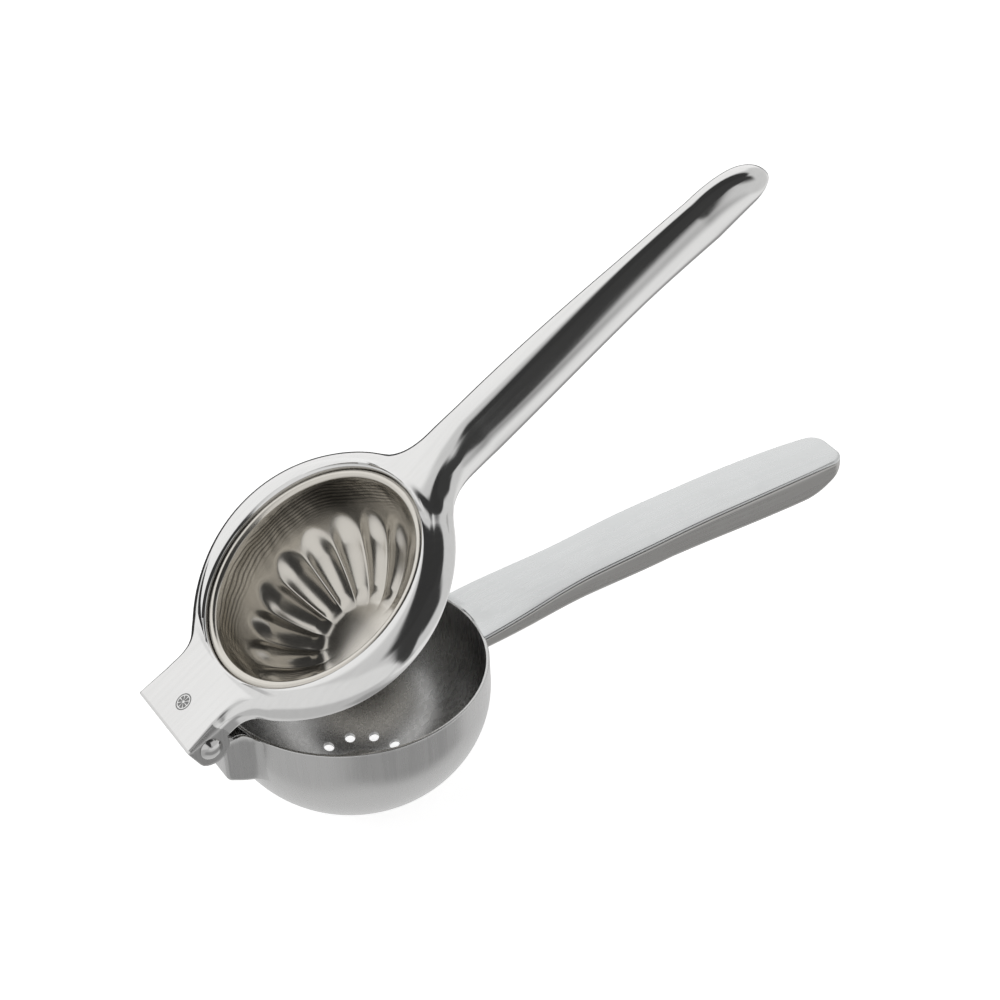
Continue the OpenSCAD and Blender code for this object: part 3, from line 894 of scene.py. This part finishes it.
def lower_handle():
    outline = lower_outline()
    inner_x = np.minimum(outline[:, 0], REACH - CORNER_R - 1.5)
    lower_shell(outline, inner_x)
    lower_plate(outline, inner_x)


# ---- hinge bracket -----------------------------------------------------------------------

NECK_Y = 13.0                                  # outer faces of the bracket's walls, from the middle
NECK_END = -45.0
NECK_T = 1.2
NECK_CORNER = 1.3
NECK_FILLET = 4.0                              # fillet between the bracket and the bowl
TAB_IN = 0.04                                  # the tabs' faces lie this far inside the walls' faces
TAB_R = 3.0                                    # radius of the tab's rounded end
TAB_BORE = 1.85
TAB_LOW = -5.6                                 # the tab's lower edge, from the pin
TAB_SLOPE = 0.62                               # how steeply the tab's top falls away from the pin


def bracket_outline():
    """Half outline of the bracket: a fillet off the bowl, a straight side, a corner and the end face."""
    f = NECK_FILLET
    cx = -math.sqrt((BOWL_R + f) ** 2 - (NECK_Y + f) ** 2)
    cy = NECK_Y + f
    from_bowl = math.degrees(math.atan2(-cy, -cx))
    stations = []
    for a in np.linspace(from_bowl, -90, 9):
        stations.append((cx + f * cosd(a), cy + f * sind(a), cosd(a), sind(a)))
    r = NECK_CORNER
    for x in np.linspace(cx, NECK_END + r, 8)[1:]:
        stations.append((x, NECK_Y, 0.0, -1.0))
    for a in np.linspace(90, 180, 7)[1:]:
        stations.append((NECK_END + r + r * cosd(a), NECK_Y - r + r * sind(a), -cosd(a), -sind(a)))
    for t in np.linspace(0, 1, 8)[1:]:
        stations.append((NECK_END, (NECK_Y - r) * (1 - t), 1.0, 0.0))
    return np.array(stations)


def bracket_rim(x):
    """Top edge of the bracket: level with the bowl's rim at the bowl, a low rise, then down at the end."""
    return float(mix(-0.6, 2.7, smooth(-x, 34.5, 40)) - 3.2 * smooth(-x, 43.2, 45))


def bracket_floor(x):
    return float(-10.8 - 0.5 * (x - NECK_END))


def pin_tab(side):
    """The flat end of one side wall, with the bore for the hinge pin."""
    front = NECK_END + 3 - PIN_X
    turn = np.arange(64) * 360 / 64
    outline = []
    for a in turn:
        dx, dz = cosd(a), sind(a)
        reach = TAB_R
        if dx > 0:
            to_low = TAB_LOW / dz if dz < 0 else math.inf
            to_top = TAB_R / (dz + TAB_SLOPE * dx) if dz + TAB_SLOPE * dx > 0 else math.inf
            reach = max(reach, min(front / dx, to_low, to_top))
        outline.append((PIN_X + dx * reach, PIN_Z + dz * reach))
    hole = [(PIN_X + TAB_BORE * cosd(a), PIN_Z + TAB_BORE * sind(a)) for a in turn]
    near = side * (NECK_Y - TAB_IN)
    far = side * (NECK_Y - NECK_T + TAB_IN)
    loops = ((hole, near), (outline, near), (outline, far), (hole, far), (hole, near))
    return np.array([[(x, y, z) for x, z in loop] for loop, y in loops])


def hug_bowl(points):
    """Draws the bracket's bowl end in to the bowl's side, which curves under below its band."""
    x, y, z = points[..., 0], points[..., 1], points[..., 2]
    side = BOWL_R * np.sqrt(1 - (np.clip(-BAND - z, 0, None) / DOME_DEPTH) ** 2)
    away = np.hypot(x, y)
    pull = smooth(away, BOWL_R + 5.5, BOWL_R + 0.2) * (BOWL_R - side) / away
    moved = points.copy()
    moved[..., 0] -= x * pull
    moved[..., 1] -= y * pull
    return moved


def hinge_bracket():
    outline = bracket_outline()
    inner_x = np.clip(outline[:, 0], NECK_END + 5, None)
    grids = tray(outline, inner_x, bracket_rim, bracket_floor, 1.2, NECK_T)
    both = []
    for points, wrap in grids:
        points = hug_bowl(points)
        both += [(points, wrap), (points * (1, -1, 1), wrap)]
    both += [(pin_tab(1), True), (pin_tab(-1), True)]
    piece("hinge_bracket_sheet", both, BRACKET_STEEL, "base", ["hinge_bracket"], sharp=50)


# ---- hinge hardware ----------------------------------------------------------------------

PIN_R = 1.8
PIN_BORE = 1.87                                # bore of the sleeve and the washers
SLEEVE_R = 2.7
WASHER_R = 2.9
HEAD_R = 3.2
HEAD_H = 1.6
HEAD_EDGE = 0.35                               # height of the heads' straight edge
ENDS = 0.05                                    # clearance at the ends of the sleeve


def turned(profile, steps):
    """A turned shape about the hinge pin, from an outline of (radius, distance along the pin)."""
    turn = np.arange(steps) * 360 / steps
    return np.array([[(PIN_X + r * cosd(a), y, PIN_Z + r * sind(a)) for a in turn] for r, y in profile])


def rivet():
    cap = HEAD_H - HEAD_EDGE
    dome = (HEAD_R ** 2 + cap ** 2) / (2 * cap)
    rise = math.degrees(math.asin((HEAD_R - 0.08) / dome))
    top = EAR_Y + HEAD_H
    half = [(0, top)]
    half += [(dome * sind(a), top - dome + dome * cosd(a)) for a in np.linspace(0, rise, 14)[1:]]
    half += [(HEAD_R, EAR_Y + HEAD_EDGE * 0.7), (HEAD_R, EAR_Y + 0.02), (PIN_R, EAR_Y + 0.02), (PIN_R, 0)]
    profile = half + [(r, -y) for r, y in half[-2::-1]]
    piece("rivet", [(turned(profile, 96), True)], RIVET_STEEL, "press_arm", ["hinge_rivet"],
          ARM, sharp=40)


def spacer_tube():
    long = NECK_Y - NECK_T - ENDS
    flat = SLEEVE_R - 0.2
    sleeve = [(PIN_BORE, -long), (flat, -long), (SLEEVE_R, 0.2 - long), (SLEEVE_R, long - 0.2), (flat, long),
              (PIN_BORE, long), (PIN_BORE, -long)]
    piece("spacer_tube", [(turned(sleeve, 96), True)], HARD_STEEL, "base", ["spacer_sleeve"],
          sharp=40)


def washer_pair():
    near, far = NECK_Y + 0.1, NECK_Y + 0.7
    flat = WASHER_R - 0.1
    ring = [(PIN_BORE, near), (flat, near), (WASHER_R, near + 0.1), (WASHER_R, far - 0.1), (flat, far),
            (PIN_BORE, far), (PIN_BORE, near)]
    grids = [(turned([(r, side * y) for r, y in ring], 64), True) for side in (1, -1)]
    piece("washer_pair", grids, HARD_STEEL, "base", ["hinge_washers"], sharp=40)


# ---- studio ------------------------------------------------------------------------------

CAMERA_AT = Vector((-0.24108, -0.51802, 0.51025))
LOOK_AT = Vector((0.05941, 0.01759, 0.06))
CAMERA_ROLL = 3.18
LENS = 97.2


def camera():
    data = bpy.data.cameras.new("camera")
    data.lens = LENS
    data.sensor_width = 36
    data.clip_start, data.clip_end = 0.01, 50
    made = bpy.data.objects.new("camera", data)
    bpy.context.scene.collection.objects.link(made)
    turn = (LOOK_AT - CAMERA_AT).to_track_quat("-Z", "Y").to_matrix().to_4x4()
    roll = Matrix.Rotation(math.radians(-CAMERA_ROLL), 4, "Z")
    made.matrix_world = Matrix.Translation(CAMERA_AT) @ turn @ roll
    bpy.context.scene.camera = made


def direction(azimuth, elevation):
    """A unit vector towards a point round the object. Azimuth 0 is +Y and 90 is +X."""
    a, e = math.radians(azimuth), math.radians(elevation)
    return Vector((math.sin(a) * math.cos(e), math.cos(a) * math.cos(e), math.sin(e)))


def card(n, ray, azimuth, elevation, half_w, half_h, soft):
    """A mask for a rectangular card in the surroundings, sizes in degrees."""
    ahead = direction(azimuth, elevation)
    side = direction(azimuth + 90, 0)
    up = side.cross(ahead)

    def along(axis):
        return n.add("ShaderNodeVectorMath", {0: ray, 1: axis}, operation="DOT_PRODUCT").outputs["Value"]

    forward = along(ahead)
    safe = n.math("MAXIMUM", forward, 0.02)
    masks = []
    for axis, half in ((side, half_w), (up, half_h)):
        off = n.math("ABSOLUTE", n.math("DIVIDE", along(axis), safe))
        edge = n.math("ARCTANGENT", off)
        masks.append(n.ramp(edge, math.radians(half - soft), math.radians(half + soft), 1.0, 0.0))
    front = n.ramp(forward, 0.02, 0.1)
    return n.math("MULTIPLY", n.math("MULTIPLY", masks[0], masks[1]), front)


def gap_mask(n, ray):
    """A mask for the dark gap: a chain of straight stretches between its points, with changing width."""
    nearest = None
    for (az_a, el_a, w_a), (az_b, el_b, w_b) in zip(GAP, GAP[1:]):
        a, b = direction(az_a, el_a), direction(az_b, el_b)
        along = b - a
        offset = n.add("ShaderNodeVectorMath", {0: ray, 1: a}, operation="SUBTRACT").outputs[0]
        dot = n.add("ShaderNodeVectorMath", {0: offset, 1: along / along.length_squared},
                    operation="DOT_PRODUCT").outputs["Value"]
        t = n.add("ShaderNodeClamp", {0: dot}).outputs[0]
        step = n.add("ShaderNodeVectorMath", {0: along, "Scale": t}, operation="SCALE").outputs[0]
        away = n.add("ShaderNodeVectorMath", {0: offset, 1: step}, operation="DISTANCE").outputs["Value"]
        width = n.ramp_linear(t, 0.0, 1.0, math.radians(w_a), math.radians(w_b))
        far = n.math("DIVIDE", away, width)
        nearest = far if nearest is None else n.math("MINIMUM", nearest, far)
    return n.ramp(nearest, 0.8, 1.25, 1.0, 0.0)


# azimuth, elevation, half width, half height, softness, brightness; later cards cover earlier ones
CARDS = (
    (5, 20, 62, 34, 4, 1.22),                  # bright wall behind
    (14, -20, 42, 17, 3, 0.04),                # dark table edge behind
    (95, 20, 42, 29, 5, 0.86),                 # right card
    (128, -12, 58, 10, 5, 1.12),               # its bright lower edge
    (148, 53, 18, 24, 6, 0.06),                # dark patch above the right card's near end
    (262, 18, 68, 29, 4, 1.02),                # left card
    (245, -34, 50, 26, 8, 0.70),               # lower left
    (165, -44, 40, 14, 7, 0.45),               # grey table on the camera's side
    (172, -1, 8, 5, 6, 0.40),                  # grey patch below the gap
)
# The dark gap between the cards on the camera's side, which opens upwards: azimuth, elevation, half width
GAP = ((177, 9, 7), (181, 22, 11), (186, 35, 15), (190, 48, 18), (195, 62, 22))
GAP_LEVEL = 0.06
BETWEEN_LEVEL = 0.85                           # brightness where there is no card
CEILING_LEVEL = 0.05
CEILING_FROM = 0.79                            # sines of the elevations where the ceiling begins and is full
CEILING_FULL = 0.86


def surroundings():
    world = bpy.data.worlds.new("studio")
    bpy.context.scene.world = world
    world.use_nodes = True
    n = Nodes(world.node_tree)
    ray = n.add("ShaderNodeTexCoord").outputs["Generated"]
    up = n.add("ShaderNodeSeparateXYZ", {0: ray}).outputs["Z"]
    level = n.ramp(up, CEILING_FROM, CEILING_FULL, BETWEEN_LEVEL, CEILING_LEVEL)
    for azimuth, elevation, half_w, half_h, soft, value in CARDS:
        mask = card(n, ray, azimuth, elevation, half_w, half_h, soft)
        level = n.add("ShaderNodeMix", {0: mask, 2: level, 3: value}).outputs[0]
    dark = gap_mask(n, ray)
    level = n.add("ShaderNodeMix", {0: dark, 2: level, 3: GAP_LEVEL}).outputs[0]
    shade = n.add("ShaderNodeBackground", {"Color": level, "Strength": 1.0})
    n.add("ShaderNodeOutputWorld", {0: shade.outputs[0]})


def floor():
    data = bpy.data.meshes.new("floor")
    half = 4.0
    corners = [(-half, -half, 0), (half, -half, 0), (half, half, 0), (-half, half, 0)]
    data.from_pydata(corners, [], [(0, 1, 2, 3)])
    made = bpy.data.objects.new("floor", data)
    bpy.context.scene.collection.objects.link(made)
    material = bpy.data.materials.new("pale_floor")
    material.use_nodes = True
    n = Nodes(material.node_tree)
    shader = n.add("ShaderNodeBsdfPrincipled", {"Base Color": (0.9, 0.9, 0.9, 1), "Roughness": 0.9,
                                                "Emission Color": (1, 1, 1, 1), "Emission Strength": 0.65})
    n.add("ShaderNodeOutputMaterial", {0: shader.outputs[0]})
    data.materials.append(material)
    made.visible_glossy = False


# ---- the whole object --------------------------------------------------------------------

camera()
surroundings()
floor()
upper_arm()
etched_mark()
closing_plate()
press_cup()
bowl()
lower_handle()
hinge_bracket()
rivet()
spacer_tube()
washer_pair()
bpy.context.scene.view_settings.view_transform = "Standard"
